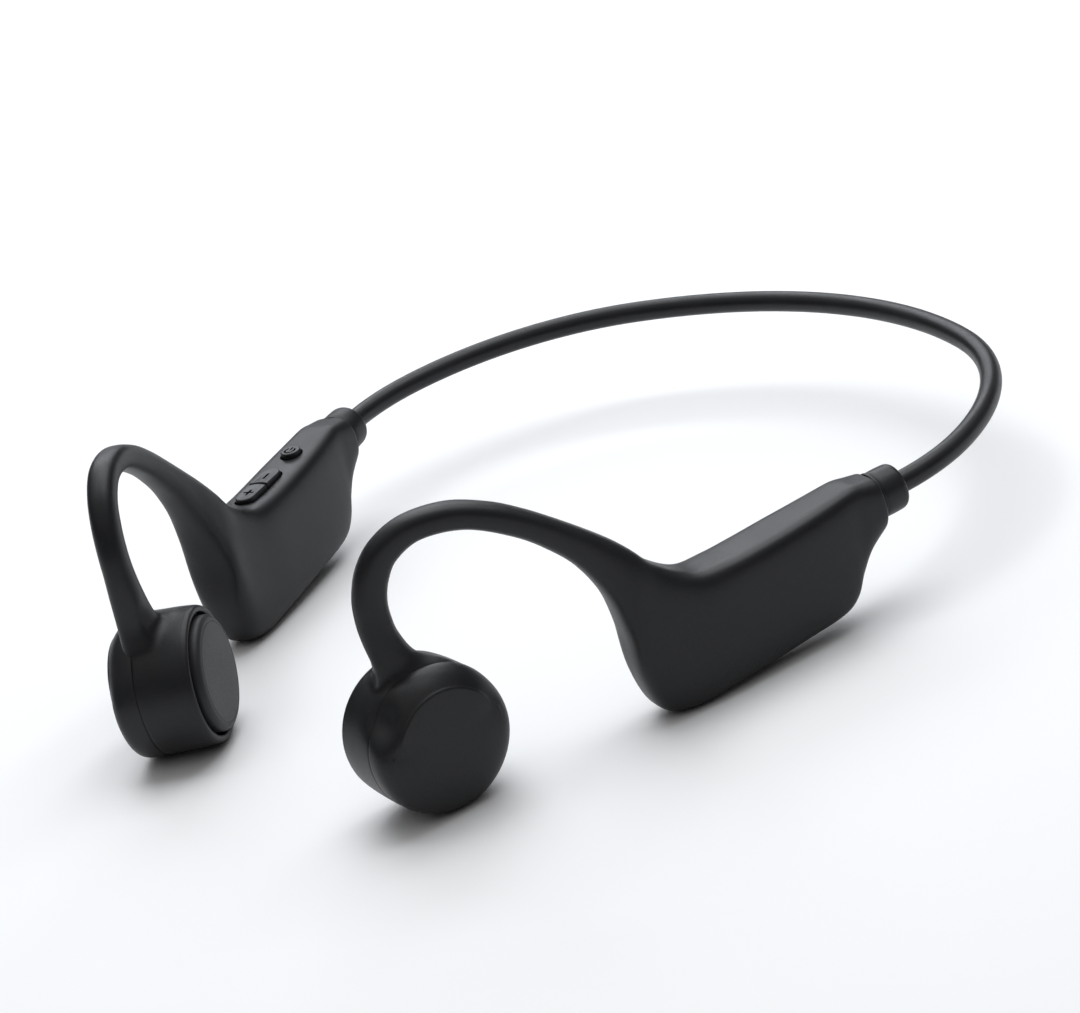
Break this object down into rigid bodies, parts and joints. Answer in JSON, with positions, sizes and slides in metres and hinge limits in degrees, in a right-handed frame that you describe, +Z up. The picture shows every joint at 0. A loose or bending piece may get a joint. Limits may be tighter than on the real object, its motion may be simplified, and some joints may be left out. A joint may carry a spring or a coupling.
{
  "type": "bone conduction headphones",
  "caption": "Bone conduction headphones: sprung wire neckband, over-ear hooks with electronics housings, and drum-shaped vibrating pods that rest on the cheekbones.",
  "frame": {"origin": "on the surface the headphones rest on, below the middle of their bounding box", "axes": "+X towards the wearer's left, -Y towards the wearer's face (the pods), +Y towards the back of the neck, +Z up as worn"},
  "size_m": [0.1482, 0.1673, 0.0547],
  "materials": {
    "sleeve_rubber": "matt silicone",
    "skin_rubber": "soft-touch matt silicone",
    "cap_plastic": "soft-touch matt",
    "pad_rubber": "fine-grained matt silicone",
    "key_plastic": "matt",
    "frame_plastic": "moulded",
    "spring_steel": "drawn wire",
    "motor_steel": "stamped",
    "magnet_nickel": "nickel plated",
    "copper_wire": "enamelled copper",
    "lead_insulation": "insulated lead",
    "circuit_board": "solder mask",
    "cell_foil": "pouch foil",
    "foam": "open-cell foam"
  },
  "bodies": {
    "neckband": {"neckband_sleeve": "sleeve_rubber", "neckband_spring_wire": "spring_steel", "neckband_leads": "lead_insulation"},
    "left_arm": {"left_arm_skin": "skin_rubber", "left_collar": "sleeve_rubber", "left_hook_wire": "spring_steel", "left_hook_leads": "lead_insulation", "left_housing_frame": "frame_plastic", "left_pod_body": "cap_plastic", "left_pod_cap": "cap_plastic", "left_magnet": "magnet_nickel", "left_pole_plate": "motor_steel", "left_yoke": "motor_steel", "left_driver_frame": "frame_plastic", "left_suspension_spring": "spring_steel", "battery_cell": "cell_foil", "battery_board": "circuit_board", "battery_foam": "foam"},
    "right_arm": {"right_arm_skin": "skin_rubber", "right_collar": "sleeve_rubber", "right_hook_wire": "spring_steel", "right_hook_leads": "lead_insulation", "right_housing_frame": "frame_plastic", "right_pod_body": "cap_plastic", "right_pod_cap": "cap_plastic", "right_magnet": "magnet_nickel", "right_pole_plate": "motor_steel", "right_yoke": "motor_steel", "right_driver_frame": "frame_plastic", "right_suspension_spring": "spring_steel", "main_board": "circuit_board", "radio_shield": "motor_steel", "button_board": "circuit_board", "tact_switches": "motor_steel", "usb_port": "motor_steel", "microphone": "motor_steel", "antenna": "copper_wire"},
    "left_driver": {"left_contact_pad": "pad_rubber", "left_vibration_plate": "motor_steel", "left_voice_coil": "copper_wire"},
    "right_driver": {"right_contact_pad": "pad_rubber", "right_vibration_plate": "motor_steel", "right_voice_coil": "copper_wire"},
    "power_button": {"power_button": "key_plastic"},
    "volume_up": {"volume_up_button": "key_plastic"},
    "volume_down": {"volume_down_button": "key_plastic"},
    "port_flap": {"port_cover": "pad_rubber"}
  },
  "joints": [
    {"name": "left_arm_flex", "type": "hinge", "parent": "neckband", "child": "left_arm", "pos_m": [0.046, 0.052, 0.019], "axis": [0, 0, 1], "range_deg": [-3, 15], "stiffness_Nm_per_rad": 0.4, "deforming": ["neckband_sleeve", "neckband_spring_wire", "neckband_leads"]},
    {"name": "right_arm_flex", "type": "hinge", "parent": "neckband", "child": "right_arm", "pos_m": [-0.046, 0.052, 0.019], "axis": [0, 0, -1], "range_deg": [-3, 15], "stiffness_Nm_per_rad": 0.4, "deforming": ["neckband_sleeve", "neckband_spring_wire", "neckband_leads"]},
    {"name": "left_driver_vibration", "type": "slide", "parent": "left_arm", "child": "left_driver", "axis": [0.9659, -0.2588, 0], "range_m": [-0.00025, 0.00025], "stiffness_N_per_m": 4000, "deforming": ["left_suspension_spring"]},
    {"name": "right_driver_vibration", "type": "slide", "parent": "right_arm", "child": "right_driver", "axis": [-0.829, -0.5592, 0], "range_m": [-0.00025, 0.00025], "stiffness_N_per_m": 4000, "deforming": ["right_suspension_spring"]},
    {"name": "power_press", "type": "slide", "parent": "right_arm", "child": "power_button", "axis": [0, 0, -1], "range_m": [0, 0.00045], "stiffness_N_per_m": 3000},
    {"name": "volume_up_press", "type": "slide", "parent": "right_arm", "child": "volume_up", "axis": [0, 0, -1], "range_m": [0, 0.00045], "stiffness_N_per_m": 3000},
    {"name": "volume_down_press", "type": "slide", "parent": "right_arm", "child": "volume_down", "axis": [0, 0, -1], "range_m": [0, 0.00045], "stiffness_N_per_m": 3000},
    {"name": "port_cover_hinge", "type": "hinge", "parent": "right_arm", "child": "port_flap", "pos_m": [-0.06054, -0.01675, 0.0017], "axis": [-0.9613, -0.2756, 0], "range_deg": [0, 95], "stiffness_Nm_per_rad": 0.0005, "springref_deg": -5.73}
  ]
}
